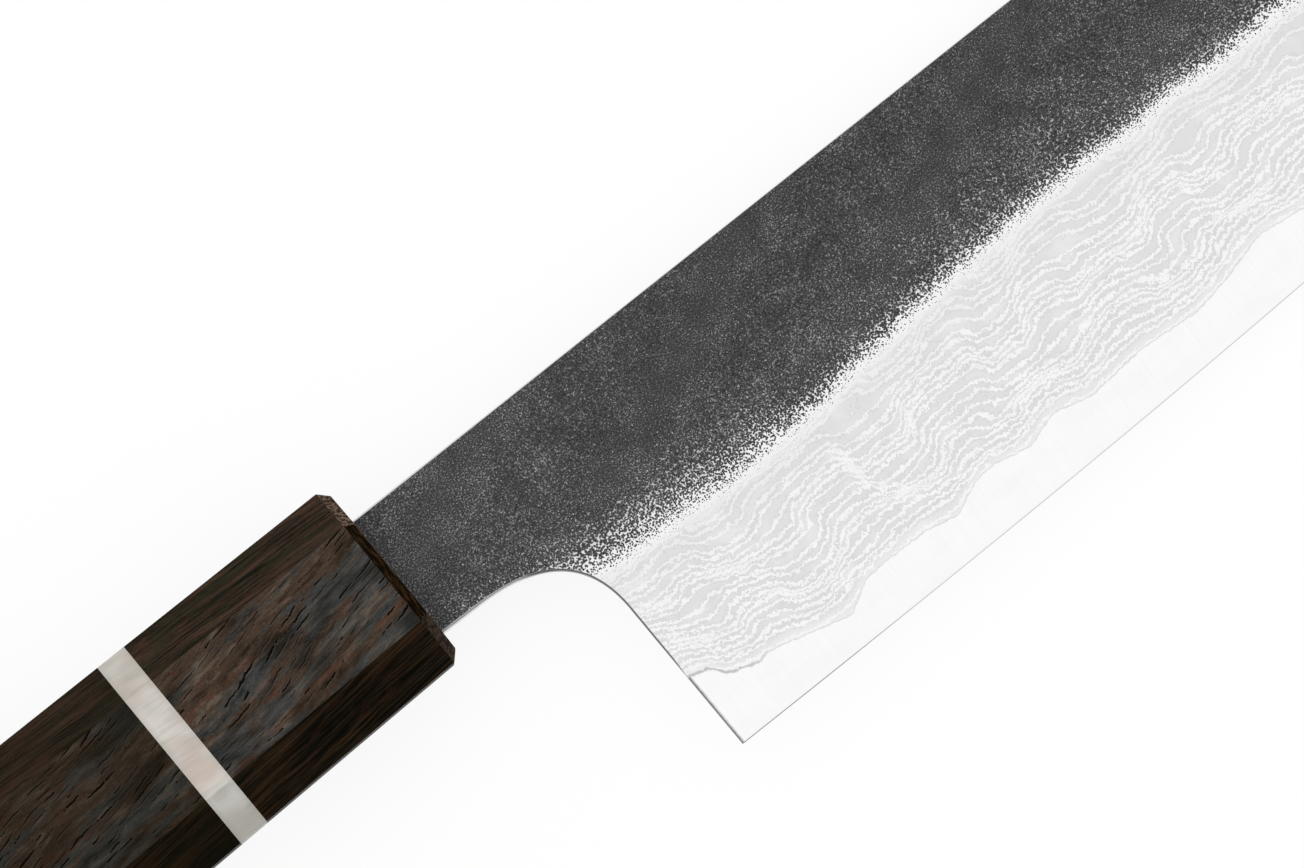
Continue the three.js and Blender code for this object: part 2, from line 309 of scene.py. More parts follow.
def insetPath(path):  # each point moved into the blade by its own width
    points, widths = path[:, :2], path[:, 2]
    ahead = np.diff(points, axis=0)
    ahead /= np.linalg.norm(ahead, axis=1)[:, None]
    inward = np.stack([ahead[:, 1], -ahead[:, 0]], 1)
    before, after = np.vstack([inward[:1], inward]), np.vstack([inward, inward[-1:]])
    middle = before + after
    middle /= (1 + (before * after).sum(1))[:, None].clip(0.4)
    return points + middle * widths[:, None], middle


def insideOf(polygon, points):
    inside = np.zeros(len(points), bool)
    for (x0, y0), (x1, y1) in zip(polygon, np.roll(polygon, -1, axis=0)):
        if y0 != y1:
            crosses = (y0 > points[:, 1]) != (y1 > points[:, 1])
            inside ^= crosses & (points[:, 0] < (x1 - x0) * (points[:, 1] - y0) / (y1 - y0) + x0)
    return inside


def fillOutline(polygon, inner, step):  # triangles over a polygon, with lines inside it kept
    fixed = np.vstack([polygon, inner]) if len(inner) else polygon
    tree = KDTree(len(fixed))
    for i, p in enumerate(fixed):
        tree.insert((p[0], p[1], 0), i)
    tree.balance()
    low, high = polygon.min(0), polygon.max(0)
    rows = np.arange(low[1], high[1], step * math.sqrt(3) / 2)
    columns = np.arange(low[0], high[0], step)
    grid = np.array([(x + (j % 2) * step / 2, y) for j, y in enumerate(rows) for x in columns])
    grid = grid[insideOf(polygon, grid)]
    grid = np.array([p for p in grid if tree.find((p[0], p[1], 0))[2] > 0.55 * step])
    points = np.vstack([fixed, grid])
    count = len(polygon)
    edges = [(i, (i + 1) % count) for i in range(count)]
    edges += [(count + i, count + i + 1) for i in range(len(inner) - 1)]
    made = delaunay_2d_cdt([Vector(p) for p in points], edges, [list(range(count))[::-1]], 1, 1e-7)
    source = [original[0] for original in made[3]]
    triangles = np.array([[source[i] for i in face] for face in made[2]])
    a, b, c = (points[triangles[:, k]] for k in range(3))
    turned = (b[:, 0] - a[:, 0]) * (c[:, 1] - a[:, 1]) < (b[:, 1] - a[:, 1]) * (c[:, 0] - a[:, 0])
    triangles[turned] = triangles[turned][:, ::-1]
    return points, triangles


def toFrame(places):  # blade places in mm to metres in the shared frame
    x, y, z = np.asarray(places, float).T
    cos, sin = math.cos(pitch), math.sin(pitch)
    return np.stack([x * cos + y * sin, y * cos - x * sin, z], 1) * mm + np.array(handleFront)


def addObject(name, data):
    made = bpy.data.objects.new(name, data)
    scene.collection.objects.link(made)
    return made


def makePiece(name, points, faces, material, sharpFrom):  # points in metres, angle in degrees
    mesh = bpy.data.meshes.new(name)
    mesh.from_pydata(points.tolist(), [], [list(f) for f in faces])
    mesh.materials.append(material)
    mesh.shade_smooth()
    mesh.set_sharp_from_angle(angle=math.radians(sharpFrom))
    return addObject(name, mesh)


def keep(piece, name, kind, values):  # values for each vertex, read by the materials
    stored = piece.data.attributes.new(name, kind, "POINT")
    field = "vector" if kind == "FLOAT_VECTOR" else "value"
    stored.data.foreach_set(field, np.asarray(values, np.float32).ravel())


def band(first, second):  # faces between two rows of vertices, without the collapsed ones
    made = []
    for i in range(len(first) - 1):
        corners = [first[i], first[i + 1], second[i + 1], second[i]]
        corners = [v for k, v in enumerate(corners) if v != corners[k - 1]]
        if len(corners) > 2:
            made.append(corners)
    return made


outline = bladeOutline()


def laminationStart():  # where the lamination line meets the heel, and the outline's points above it
    y = lineAt(heelReach)
    x = heelReach - size.heelLean * (y - heelEdge) / (choilFoot - heelEdge)
    first = next(i for i, row in enumerate(outline) if row[1] > y + 0.2)
    return x, y, first


# Layers of the steel, which follow the core's line and lie in folds above it
layerLook = {
    "spacing": 1.04, "crowding": 1.25, "crowdReach": 3.5, "follow": 6.0, "followFar": 30.0,
    "folds": 20, "foldDepth": 1.08, "foldLength": (9, 30), "foldHeight": (14, 36),
    "foldSteepness": 1.5, "foldFadeIn": 6.0, "leastFold": 0.05, "lowest": -3.0,
    "unevenness": [(0.16, 3.1), (0.08, 1.7), (0.25, 7.3)],
    "rightSeed": 5, "leftSeed": 11, "shiftLeft": 400,
}


def layerCount(x, y, seed):  # how many layers lie below a place
    look = named(layerLook)
    draw, turn = np.random.default_rng(seed), 2 * math.pi
    quick = np.interp(x - heelReach, *layerCurve)
    slow = np.interp(x - heelReach, *slowCurve)
    above = y - (edgeAt(x) + quick)
    lift = np.maximum(above, 0)
    calm = (quick - slow) * (1 - np.exp(-lift / look.follow))
    calm = calm + (slow - slowCurve[1].mean()) * (1 - np.exp(-lift / look.followFar))
    swell = np.zeros(len(x))
    for _ in range(look.folds):
        across = draw.uniform(*look.foldHeight) * draw.choice([-1, 1])
        swell += np.cos(turn * (x / draw.uniform(*look.foldLength) + y / across + draw.uniform()))
    fold = np.tanh(look.foldSteepness * swell * math.sqrt(2 / look.folds))
    fold = fold * np.clip(above / look.foldFadeIn, look.leastFold, 1)
    height = np.maximum(above + calm + look.foldDepth * fold, look.lowest)
    uneven = sum(share * np.sin(turn * (height / wave + draw.uniform())) for share, wave in look.unevenness)
    return height / look.spacing + look.crowding * (1 - np.exp(-height / look.crowdReach)) + uneven


def keepPlaces(piece, x, y, side):
    look = named(layerLook)
    seed, shift = (look.rightSeed, 0) if side > 0 else (look.leftSeed, look.shiftLeft)
    step = 0.05
    rise = [layerCount(x + dx, y + dy, seed) - layerCount(x - dx, y - dy, seed)
            for dx, dy in ((step, 0), (0, step))]
    perMm = np.clip(np.hypot(*rise) / (2 * step), 0.15, 4)
    keep(piece, "layerPlace", "FLOAT_VECTOR", np.stack([layerCount(x, y, seed), perMm, 0 * x], 1))
    scaleUp = y - np.interp(x, *scaleCurve)
    keep(piece, "bladePlace", "FLOAT_VECTOR", np.stack([x + shift, y - lineAt(x), scaleUp], 1))


def makeCladding(name, side, material):
    startX, startY, first = laminationStart()
    last = int(np.argmin(np.abs(outline[:, 0] - tipReach) + np.abs(outline[:, 1] - lineAt(tipReach))))
    path = np.vstack([[startX, startY, 0], outline[first:last + 1]])
    fromHeel = np.cumsum(np.r_[0, np.linalg.norm(np.diff(path[:, :2], axis=0), axis=1)])
    path[:, 2] *= np.clip(fromHeel / size.easeFadeIn, 0, 1)
    path[:, 2] *= np.clip((fromHeel[-1] - fromHeel) / size.easeFadeOut, 0, 1)
    inset, inward = insetPath(path)
    inset[[0, -1]] = path[[0, -1], :2]
    lineX = steps(tipReach, startX, size.lineStep)[1:-1]
    line = np.stack([lineX, lineAt(lineX)], 1)
    points, triangles = fillOutline(np.vstack([inset, line]), [], size.meshStep)
    x, y = points.T
    pathCount = len(inset)
    outer, inner = halfThickness(x, spine - y), coreHalf(x)
    closed = np.r_[0, np.arange(pathCount - 1, pathCount + len(line))]
    outer[closed] = inner[closed]
    outer = np.maximum(outer, inner)
    places = np.stack([x, y, outer], 1).tolist()
    polish = np.zeros(len(points)).tolist()

    def addPoint(place, height, shine):
        places.append([*place, height])
        polish.append(shine)
        return len(places) - 1

    def addRow(flat, heights, shine):  # the two ends are shared by all rows
        ends = (0, pathCount - 1)
        return [i if i in ends else addPoint(p, heights[i], shine) for i, p in enumerate(flat)]

    rows = [list(range(pathCount))]
    widths, base, floor = path[:, 2], outer[:pathCount], inner[:pathCount]
    drop = np.minimum(size.easeDrop * widths, size.mostDrop * (base - floor))
    for k in range(1, size.easeRows + 1):
        angle = k / size.easeRows * math.pi / 2
        flat = path[:, :2] + inward * (widths * (1 - math.sin(angle)))[:, None]
        rows.append(addRow(flat, base - drop * (1 - math.cos(angle)), k / size.easeRows))
    rows.append(addRow(path[:, :2], floor, 1))
    innerRow = {i: i for i in closed}
    for i, p in enumerate(points):
        if i not in innerRow:
            innerRow[i] = addPoint(p, inner[i], 1)
    rows.append([innerRow[i] for i in range(pathCount)])
    faces = triangles.tolist() + [[innerRow[i] for i in f[::-1]] for f in triangles.tolist()]
    for upper, lower in zip(rows, rows[1:]):
        faces += band(upper, lower)
    places = np.array(places)
    if side < 0:
        places[:, 2] *= -1
        faces = [f[::-1] for f in faces]
    piece = makePiece(name, toFrame(places), faces, material, size.sharpFrom)
    keepPlaces(piece, places[:, 0], places[:, 1], side)
    keep(piece, "polish", "FLOAT", polish)
    return piece


def makeCore(name, material):
    x = steps(outline[-1, 0], heelReach, size.edgeStep)[1:-1]
    edge = np.stack([x, edgeAt(x)], 1)
    startX, startY, _ = laminationStart()
    lineX = steps(tipReach, startX, size.lineStep)[2:-2]
    line = np.stack([lineX, lineAt(lineX)], 1)
    wall = outline[:, :2]
    points, triangles = fillOutline(np.vstack([wall, edge]), line, size.coreCoarser * size.meshStep)
    x, y = points.T
    depth = spine - y
    below = depth - laminationDepth(x)
    shown = halfThickness(x, depth) - size.weldGap * np.exp(-np.maximum(below, 0) / size.weldFade)
    height = np.where(below > 0, shown, coreHalf(x) - size.weldGap)
    wallCount = len(wall)
    sharp = np.r_[0, np.arange(wallCount - 1, wallCount + len(edge))]
    height = np.maximum(height, size.leastHalf)
    height[sharp] = 0
    places = np.stack([x, y, height], 1).tolist()
    under = {i: i for i in sharp}
    for i in range(len(points)):
        if i not in under:
            places.append([x[i], y[i], -height[i]])
            under[i] = len(places) - 1
    faces = triangles.tolist() + [[under[i] for i in f[::-1]] for f in triangles.tolist()]
    faces += band(list(range(wallCount)), [under[i] for i in range(wallCount)])
    places = np.array(places)
    piece = makePiece(name, toFrame(places), faces, material, size.sharpFrom)
    x, y = places[:, 0], places[:, 1]
    depth = spine - y
    keep(piece, "edgePlace", "FLOAT_VECTOR", np.stack([x, edgeDepth(x) - depth, depth - laminationDepth(x)], 1))
    return piece


# Layered steel with forge scale above it
claddingLook = {
    # greys as picked on screen
    "line": 247, "ground": 224, "rim": 214, "seam": 222, "heelSeam": 196,
    "scaleDark": 20, "scale": 62, "scaleLight": 166, "groundBare": 243,
    # the heel wall grey is painted shade on the choil and heel walls
    "polished": 222, "heelWall": 122, "sheen": 0.25,
    "ragged": 0.75, "jitter": 0.85, "sway": 1.2, "lineWidth": 0.145, "feather": 0.22,
    "dot": 0.23, "cell": 0.25, "grain": 0.19,
    "wideBandEnd": 48.0, "bandWidths": (2.2, 1.0), "innerDim": 0.022,
    "bumpDepth": 0.00006,
}


def attribute(start, name, out="Vector"):
    return start.node("ShaderNodeAttribute", out=out, attribute_name=name)


# Painted shade: the choil and heel walls are painted darker, for the shadowed floor that they reflect
def paintedHeelShade(along, height):  # the choil and heel walls are darker than the other walls
    return along.ramp(10.5, 13.5) * along.ramp(22, 21) * height.ramp(0, -4)


def nearHeel(along):
    return along.ramp(31, 25)


def scaled(vector, times):
    return vector.node("ShaderNodeVectorMath", {0: vector, "Scale": times}, operation="SCALE")


def claddingSteel():
    look = named(claddingLook)
    material, start, shader = newMaterial("layeredSteel", Specular_IOR_Level=look.sheen)
    along, layer, scaleUp = attribute(start, "bladePlace").parts()
    fromHeel = along % layerLook["shiftLeft"]
    count, perMm, _ = attribute(start, "layerPlace").parts()
    polish = attribute(start, "polish", "Fac")
    place = placeInMm(start)
    x, y, z = place.parts()

    # Layers: a ragged bright line with a darker rim at every whole count
    ragged = start.noise((x / 0.6, y / 1.0, z), 1.0, 0.5) - 0.5
    jitter = start.noise((x / 0.28, y / 0.36, z), 1.0, 0.6) - 0.5
    sway = start.noise((x / 2.0, y / 2.2, z + 9), 1.0) - 0.5
    shifted = count + (ragged * look.ragged + jitter * look.jitter + sway * look.sway) * perMm
    fromLine = abs(shifted % 1.0 - 0.5) / perMm
    width = look.lineWidth * (0.3 + 1.6 * start.noise((along / 2.5, layer / 0.9, 21), 1.0))
    feather = start.noise(scaled(place, 1 / look.feather), 1.0, 0.6) - 0.5
    edge = fromLine - width + feather * 0.3
    line = edge.ramp(0.06, -0.05)
    rim = edge.ramp(0.05, 0.14) * edge.ramp(0.34, 0.16)
    fade = scaleUp.ramp(-9, -1.5, 1.0, 0.6)
    fade = fade * start.noise((along / 5, layer / 2.0, 61), 1.0).ramp(0.32, 0.55, 0.8, 1.0)
    grain = start.noise(scaled(place, 1 / look.grain), 2.0, 0.7)
    patch = start.noise((along / 4, shifted / 1.4, 11), 2.0)
    ground = start.paint(
        look.ground, (rim * 0.8, look.rim), (patch.ramp(0.45, 0.75) * 0.4, look.line),
        (grain.ramp(0.5, 0.75) * 0.35, look.line), (layer.ramp(1.8, 0.2) * 0.5, look.line))
    steel = start.blend(line * fade * grain.ramp(0.25, 0.45, 0.6, 1.0), ground, look.line)

    # Grey seam where the layers end on the core
    heelSeam = nearHeel(fromHeel)
    seam = (layer + ragged * (0.3 + 0.6 * heelSeam) - 0.08 * heelSeam).ramp(0.22, 0.05)
    steel = start.blend(seam, steel, start.blend(heelSeam, look.seam, look.heelSeam))

    # Forge scale, which breaks up into specks where the grinding starts
    wander = (start.noise((along / 7, 0, 31), 1.0) - 0.5) * 1.6
    wander = wander + (start.noise((along / 1.6, scaleUp / 1.6, 37), 1.0) - 0.5) * 0.7
    rise = scaleUp + wander
    bandWidth = fromHeel.ramp(look.wideBandEnd - 4, look.wideBandEnd + 4, *look.bandWidths)
    lift = rise.math("MINIMUM", rise / bandWidth)
    cell = start.cells(scaled(place, 1 / look.cell))
    speck = start.noise(scaled(place, 1 / look.dot), 1.0, 0.5) * 0.35 + cell * 0.6
    reach = lift.ramp(-2.6, 0.75, 0.06, 0.56, "LINEAR") + lift.ramp(0.75, 3.4, 0.0, 0.09)
    reach = reach + rise.ramp(1.5, 15.0, 0.0, 0.16)
    covered = (reach - speck).ramp(-0.03, 0.03)
    patchy = start.noise((along / 4, scaleUp / 4, 41), 2.0)
    inner = scaleUp.ramp(6, 12) * fromHeel.ramp(heelReach, heelReach + 8)  # darker away from its end
    tone = grain + (patchy - 0.5) * 0.16 - inner * look.innerDim
    scale = start.paint(
        look.scaleDark, (tone.ramp(0.3, 0.49), look.scale), (tone.ramp(0.53, 0.72), look.scaleLight))
    steel = start.paint(
        steel, (lift.ramp(-2.5, -0.5), look.groundBare), (lift.ramp(0.4, 2.4) * 0.85, look.scaleLight))

    bare = polish.ramp(0.12, 0.35)
    covered = covered * (1 - bare)
    # painted shade darkens the choil and heel walls
    wall = start.blend(paintedHeelShade(fromHeel, y), look.polished, look.heelWall)
    colour = start.blend(covered, start.blend(bare, steel, wall), scale)
    surface = addBump(start, grain * covered + (1 - covered) * (0.3 + line * 0.05), 0.5, look.bumpDepth)
    feed(shader, Base_Color=colour, Roughness=0.3 + covered * 0.28, Metallic=1 - covered, Normal=surface)
    return material


# Bare core steel along the cutting edge
coreLook = {
    # greys as picked on screen; the edge, heel edge, heel wall and heel round greys are painted shade
    "steel": 251, "shade": 243, "edge": 190, "heelEdge": 112, "heelWall": 104,
    "wall": 230, "heelRound": 124, "fringe": 204, "bumpDepth": 0.00002,
}


def coreSteel():
    look = named(coreLook)
    material, start, shader = newMaterial("coreSteel", Metallic=1.0)
    along, edgeUp, below = attribute(start, "edgePlace").parts()
    grind = start.noise((along / 0.12, edgeUp / 9, 0), 2.0)
    cloud = start.noise((along / 9, edgeUp / 3, 5), 2.0)
    uneven = start.noise((along / 0.35, edgeUp / 0.5, 3), 2.0, 0.6) - 0.5
    # Painted shade: a thin grey line along the cutting edge, darker near the heel
    ground = start.blend(along.ramp(30, 52), look.heelEdge, look.edge)
    heel = heelReach - edgeUp * (size.heelLean / (choilFoot - heelEdge))
    fringe = (below + uneven * 0.7).ramp(0.2, -0.02) * nearHeel(along)
    height = placeInMm(start).parts()[1]
    # painted shade darkens the choil and heel walls
    wall = start.blend(paintedHeelShade(along, height), look.wall, look.heelWall)
    steel = start.paint(
        look.steel, (grind.ramp(0.35, 0.75) * 0.4 + cloud.ramp(0.4, 0.8) * 0.4, look.shade),
        (edgeUp.ramp(0.16, 0.03), ground), (fringe, look.fringe),
        # painted shade along the rounded heel
        ((along - heel + uneven * 0.2).ramp(0.5, 0.06), look.heelRound), (below.ramp(-0.1, -0.5), wall))
    surface = addBump(start, grind, 0.08, look.bumpDepth)
    feed(shader, Base_Color=steel, Roughness=0.24 + grind * 0.12, Normal=surface)
    return material


layeredSteel = claddingSteel()
rightCladding = makeCladding("right_cladding_steel", 1, layeredSteel)
leftCladding = makeCladding("left_cladding_steel", -1, layeredSteel)
core = makeCore("core_steel_layer", coreSteel())
for piece, node, slot in (
        (rightCladding, "right_cladding", "cladding_steel"), (leftCladding, "left_cladding", "cladding_steel"),
        (core, "core_steel", "core_steel")):
    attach(piece, "root")
    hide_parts(node)
    print("blade layer", piece.name, len(piece.data.polygons), "faces")

# Handle: eight-sided blocks that grow towards the butt
handleSizes = {
    "Handle Length": 134.0, "Front Height": 25.8, "Butt Height": 29.8, "Front Thickness": 20.5,
    "Butt Thickness": 23.4, "Front Cut": 5.7, "Butt Cut": 6.5,
    "Facet Shift": 0.42,  # the broad facets sit a little nearer the spine's side
}
handleDetail = {"edgeSoftness": 0.12, "edgeSteps": 3, "softFrom": 20, "boreSides": 32}
beddingWall, fitGap = 1.1, 0.2  # room round the tang and the neck, gap between fitted pieces
boreRadius = math.hypot(
    size.tangHeight / 2 + beddingWall, (size.neckThickness + 2 * beddingWall) / 2) + fitGap
plainBlock = {"Back Chamfer": 0.0, "Front Chamfer": 0.0, "Mouth": False}
blocks = {
    "front_wood": {"node": "front_block", "slot": "dark_wood", "sizes": {
        "Back": -30.3, "Front": 0.0, "Front Chamfer": 1.25, "Bore Back": -31.3, "Bore Front": -6.0,
        "Mouth": True}},
    "spacer": {"node": "spacer_ring", "slot": "pale_spacer", "sizes": {
        "Back": -34.3, "Front": -30.3, "Bore Back": -35.3, "Bore Front": -29.3}},
    "rear_wood": {"node": "rear_block", "slot": "dark_wood", "sizes": {
        "Back": -134.0, "Front": -34.3, "Back Chamfer": 1.6, "Bore Back": -96.3, "Bore Front": -33.3}},
}
mouthSizes = {
    "height": size.neckHeight + 2 * beddingWall, "thickness": size.neckThickness + 2 * beddingWall,
    "depth": 7.0, "middle": spine - size.neckHeight / 2,
}


def blockTree():
    tree = bpy.data.node_groups.new("eightSidedBlock", "GeometryNodeTree")
    kinds = dict.fromkeys([
        *handleSizes, "Back", "Front", "Back Chamfer", "Front Chamfer", "Bore Back", "Bore Front", "Bore Radius",
    ], "Float") | {"Mouth": "Bool", "Material": "Material"}
    for name, kind in kinds.items():
        tree.interface.new_socket(name, in_out="INPUT", socket_type="NodeSocket" + kind)
    tree.interface.new_socket("Geometry", in_out="OUTPUT", socket_type="NodeSocketGeometry")
    start, eighth = Wire(tree), math.radians(45)
    given = start.node("NodeGroupInput")
    value = {name: given.other(name) for name in kinds}

    def shape(kind, sockets=None, **settings):
        return start.node("GeometryNode" + kind, sockets, **settings)

    def corner(k, x, inset):  # corner k of the eight, from the distances of the facets beside it
        far = x / value["Handle Length"] * -1

        def grown(name):
            first = value["Front " + name]
            return first + (value["Butt " + name] - first) * far

        tall, thick, cut = grown("Height") / 2, grown("Thickness") / 2, grown("Cut")
        slant = (tall + thick - cut) / math.sqrt(2)

        def facet(number):
            odd = number % 2.0
            turned = number * eighth
            uneven = slant + value["Facet Shift"] * turned.math("COSINE")
            flat = tall + (thick - tall) * ((number / 2).math("FLOOR") % 2.0)
            return flat * (1 - odd) + uneven * odd - inset

        first, second = facet(k), facet((k + 1) % 8.0)
        a, b = k * eighth, (k + 1) * eighth
        y = (first * b.math("SINE") - second * a.math("SINE")) / math.sin(eighth)
        z = (second * a.math("COSINE") - first * b.math("COSINE")) / math.sin(eighth)
        return start.vector(x, y, z)

    index = shape("InputIndex")
    ring, k = (index / 9).math("FLOOR"), index % 9.0 % 8.0
    back, front, backCut, frontCut = (value[n] for n in ("Back", "Front", "Back Chamfer", "Front Chamfer"))
    x = back + (ring > 0.5) * backCut + (ring > 1.5) * (front - frontCut - back - backCut)
    x = x + (ring > 2.5) * frontCut
    inset = (ring < 0.5) * backCut + (ring > 2.5) * frontCut
    sides = shape("MeshGrid", {"Vertices X": 4, "Vertices Y": 9})
    sides = shape("SetPosition", {0: sides, "Position": corner(k, x, inset)})

    def cap(x, inset):
        disc = shape("MeshCircle", {"Vertices": 8}, fill_type="NGON")
        return shape("SetPosition", {0: disc, "Position": corner(index, x, inset)})

    join = shape("JoinGeometry")
    frontCap, backCap = cap(front, frontCut), shape("FlipFaces", {0: cap(back, backCut)})
    for part in (shape("FlipFaces", {0: sides}), frontCap, backCap):
        tree.links.new(part.socket, join.socket.node.inputs[0])
    solid = shape("MergeByDistance", {0: join, "Distance": 0.001})

    length = value["Bore Front"] - value["Bore Back"]
    bore = shape("MeshCylinder", {
        "Vertices": handleDetail["boreSides"], "Radius": value["Bore Radius"], "Depth": length})
    middle = start.vector((value["Bore Front"] + value["Bore Back"]) / 2, 0.0, 0.0)
    bore = shape("Transform", {0: bore, "Translation": middle, "Rotation": (0, math.pi / 2, 0)})

    def without(whole, cutter):
        return shape("MeshBoolean", {0: whole, 1: cutter}, operation="DIFFERENCE", solver="EXACT")

    hollow = without(solid, bore)
    box = shape("MeshCube", {"Size": (2 * mouthSizes["depth"], mouthSizes["height"], mouthSizes["thickness"])})
    box = shape("Transform", {0: box, "Translation": (0, mouthSizes["middle"], 0)})
    solid = shape("Switch", {0: value["Mouth"], 1: hollow, 2: without(hollow, box)}, input_type="GEOMETRY")

    # Edges to soften: all but the ones where two blocks meet flush
    edgeX = shape("InputPosition").parts()[0]
    flushBack = (abs(edgeX - back) < 0.01) * (backCut < 0.01)
    flushFront = (abs(edgeX - front) < 0.01) * (frontCut < 0.01)
    bent = shape("InputMeshEdgeAngle") > math.radians(handleDetail["softFrom"])
    soft = bent * (1 - flushBack) * (1 - flushFront)
    for name, kind, kept in (("bevel_weight_edge", "FLOAT", soft), ("sharp_edge", "BOOLEAN", bent - soft)):
        solid = shape(
            "StoreNamedAttribute", {0: solid, "Name": name, "Value": kept}, data_type=kind, domain="EDGE")
    solid = shape("Transform", {0: solid, "Translation": handleFront, "Scale": (mm, mm, mm)})
    solid = shape("SetMaterial", {0: shape("RealizeInstances", {0: solid}), "Material": value["Material"]})
    start.node("NodeGroupOutput", {0: solid})
    return tree


def makeBlock(name, block, tree, material):
    holder = addObject(name + ".source", bpy.data.meshes.new(name + ".source"))
    shape = holder.modifiers.new("block", "NODES")
    shape.node_group = tree
    wanted = {**handleSizes, **plainBlock, **block["sizes"], "Bore Radius": boreRadius, "Material": material}
    for socket in tree.interface.items_tree:
        if socket.in_out == "INPUT":
            shape[socket.identifier] = wanted[socket.name]
    soften = holder.modifiers.new("soften", "BEVEL")
    soften.limit_method = "WEIGHT"
    soften.width = handleDetail["edgeSoftness"] * mm
    soften.segments = handleDetail["edgeSteps"]
    holder.modifiers.new("normals", "WEIGHTED_NORMAL").keep_sharp = True
    bpy.context.view_layer.update()
    graph = bpy.context.evaluated_depsgraph_get()
    mesh = bpy.data.meshes.new_from_object(
        holder.evaluated_get(graph), preserve_all_data_layers=True, depsgraph=graph)
    bpy.data.objects.remove(holder)
    mesh.name = name
    return addObject(name, mesh)


# Dark open-pored wood. Its layers lie along the broad facets, so these show long patches and open pores
# while the slanted facets show straight streaks. The broad facets are painted lighter, partly for the cut
# of the grain and partly as painted sheen, with blue-grey patches of painted sheen
woodLook = {
    # colours as picked on screen
    # the blue-grey (63, 66, 66) is painted sheen on the broad facets
    "slate": (63, 66, 66), "brown": (70, 56, 45), "red": (85, 54, 42), "pale": (104, 93, 82),
    # the pale brown (88, 76, 64) is a painted highlight along one side of each pore, and also pale streaks on the
    # narrow facets
    "deep": (17, 14, 7), "lip": (88, 76, 64), "pore": (6, 4, 3), "rearDark": (22, 18, 6),
    # The upper and lower tones below are lit and shaded copies: the lower ones are painted shade on the edge's
    # side
    "upperDark": (31, 28, 19), "upperRed": (70, 52, 41),
    "upperOlive": (46, 43, 30), "upperRuddy": (72, 45, 37),
    "lowerDark": (5, 5, 1), "lowerRed": (50, 35, 20),
    "lowerOlive": (23, 23, 12), "lowerRuddy": (49, 27, 17),
    "endPale": (122, 99, 81), "endBrown": (75, 58, 46), "endPit": (27, 18, 10),
    "endDark": (13, 8, 2), "endLine": (59, 40, 20), "endPore": 0.45,
    "sheen": 0.025, "bumpDepth": 0.00012,
    "rise": 6.0, "poreRise": 10.0, "layerRise": 0.045, "rearShift": 23.0, "blockEnd": -32.0,
    "laneWidth": 0.8, "dashLength": 4.2, "dashTilt": 0.22, "poreHalf": 0.148,
    # lengths along, across and through the grain
    "fibre": (4, 0.17, 0.17), "grit": (0.34, 0.22, 0.22), "stria": (7, 0.3, 0.3), "tint": (20, 2.6, 3),
    "fineTint": (5, 1.1, 2), "warm": (4.4, 1.15, 2), "light": (4, 0.9, 1.4),
}


